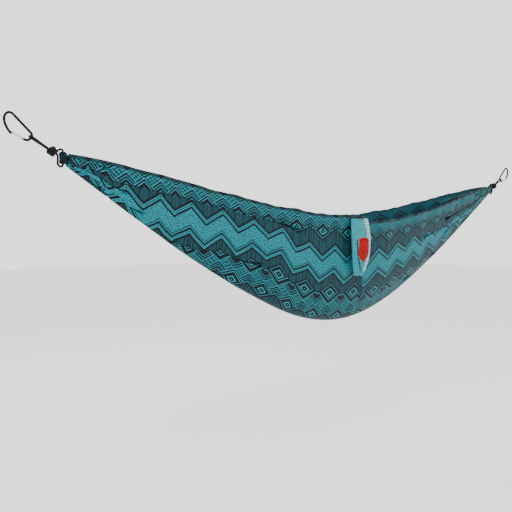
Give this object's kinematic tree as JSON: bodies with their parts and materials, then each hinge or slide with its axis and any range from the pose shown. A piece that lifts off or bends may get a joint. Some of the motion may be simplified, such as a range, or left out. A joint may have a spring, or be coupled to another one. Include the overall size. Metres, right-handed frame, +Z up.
{
  "type": "camping hammock",
  "caption": "Gathered-end camping hammock of patterned nylon on cord loops and wire-gate carabiners, with a stuff sack and pull tab on its near edge.",
  "frame": {"origin": "left hang point, inside the crown of the left carabiner where a tree strap's loop bears", "axes": "+X along the hammock to the right hang point, +Z up, -Y towards the side that carries the stuff sack"},
  "size_m": [3.0905, 0.2571, 0.7904],
  "materials": {
    "printed_cloth": "plain-woven ripstop nylon with a dark geometric print on teal, slight sheen",
    "hem_cloth": "the same nylon folded and stitched, darker",
    "dotted_cloth": "the same nylon, from the dotted band of the print",
    "striped_cloth": "the same nylon with pale and teal bars",
    "black_cord": "braided nylon sheath, matt black",
    "anodised_aluminium": "black anodised, satin, worn at the crown",
    "gate_wire": "bright drawn stainless wire",
    "red_tab": "matt moulded red tab with a raised border",
    "black_eyelet": "black lacquered brass eyelet"
  },
  "bodies": {
    "hammock": {"center_panel": "printed_cloth", "near_side_panel": "printed_cloth", "far_side_panel": "printed_cloth", "near_edge_hem": "hem_cloth", "far_edge_hem": "hem_cloth", "left_end_channel": "hem_cloth", "right_end_channel": "hem_cloth"},
    "left_suspension": {"left_suspension_cord": "black_cord", "left_knot": "black_cord"},
    "left_carabiner": {"left_carabiner_frame": "anodised_aluminium"},
    "left_gate": {"left_wire_gate": "gate_wire"},
    "right_suspension": {"right_suspension_cord": "black_cord", "right_knot": "black_cord"},
    "right_carabiner": {"right_carabiner_frame": "anodised_aluminium"},
    "right_gate": {"right_wire_gate": "gate_wire"},
    "sack": {"sack_front": "dotted_cloth", "sack_gusset": "striped_cloth", "sack_back": "dotted_cloth", "sack_mouth_channel": "dotted_cloth", "sack_drawcord": "black_cord"},
    "tab": {"pull_tab": "red_tab", "tab_eyelet": "black_eyelet"}
  },
  "joints": [
    {"name": "left_suspension_yaw", "type": "hinge", "parent": "hammock", "child": "left_suspension", "pos_m": [0.18343, 0, -0.12273], "axis": [0, 0, 1], "range_deg": [-35, 35]},
    {"name": "left_carabiner_roll", "type": "hinge", "parent": "left_suspension", "child": "left_carabiner", "pos_m": [0.07524, 0, -0.06373], "axis": [0.5, 0, 0.866], "range_deg": [-60, 60]},
    {"name": "left_gate_open", "type": "hinge", "parent": "left_carabiner", "child": "left_gate", "pos_m": [0.04687, 0, -0.06968], "axis": [0, 1, 0], "range_deg": [0, 24], "stiffness_Nm_per_rad": 0.25, "springref_deg": -5.73},
    {"name": "right_suspension_yaw", "type": "hinge", "parent": "hammock", "child": "right_suspension", "pos_m": [2.87143, 0, -0.12273], "axis": [0, 0, 1], "range_deg": [-35, 35]},
    {"name": "right_carabiner_roll", "type": "hinge", "parent": "right_suspension", "child": "right_carabiner", "pos_m": [2.97962, 0, -0.06373], "axis": [-0.5, 0, 0.866], "range_deg": [-60, 60]},
    {"name": "right_gate_open", "type": "hinge", "parent": "right_carabiner", "child": "right_gate", "pos_m": [3.00799, 0, -0.06968], "axis": [0, -1, 0], "range_deg": [0, 24], "stiffness_Nm_per_rad": 0.25, "springref_deg": -5.73},
    {"name": "sack_swing", "type": "hinge", "parent": "hammock", "child": "sack", "pos_m": [1.56143, -0.10865, -0.31173], "axis": [-1, 0, 0], "range_deg": [0, 100]},
    {"name": "tab_lift", "type": "hinge", "parent": "sack", "child": "tab", "pos_m": [1.56143, -0.14476, -0.39787], "axis": [-1, 0, 0], "range_deg": [0, 90]}
  ]
}
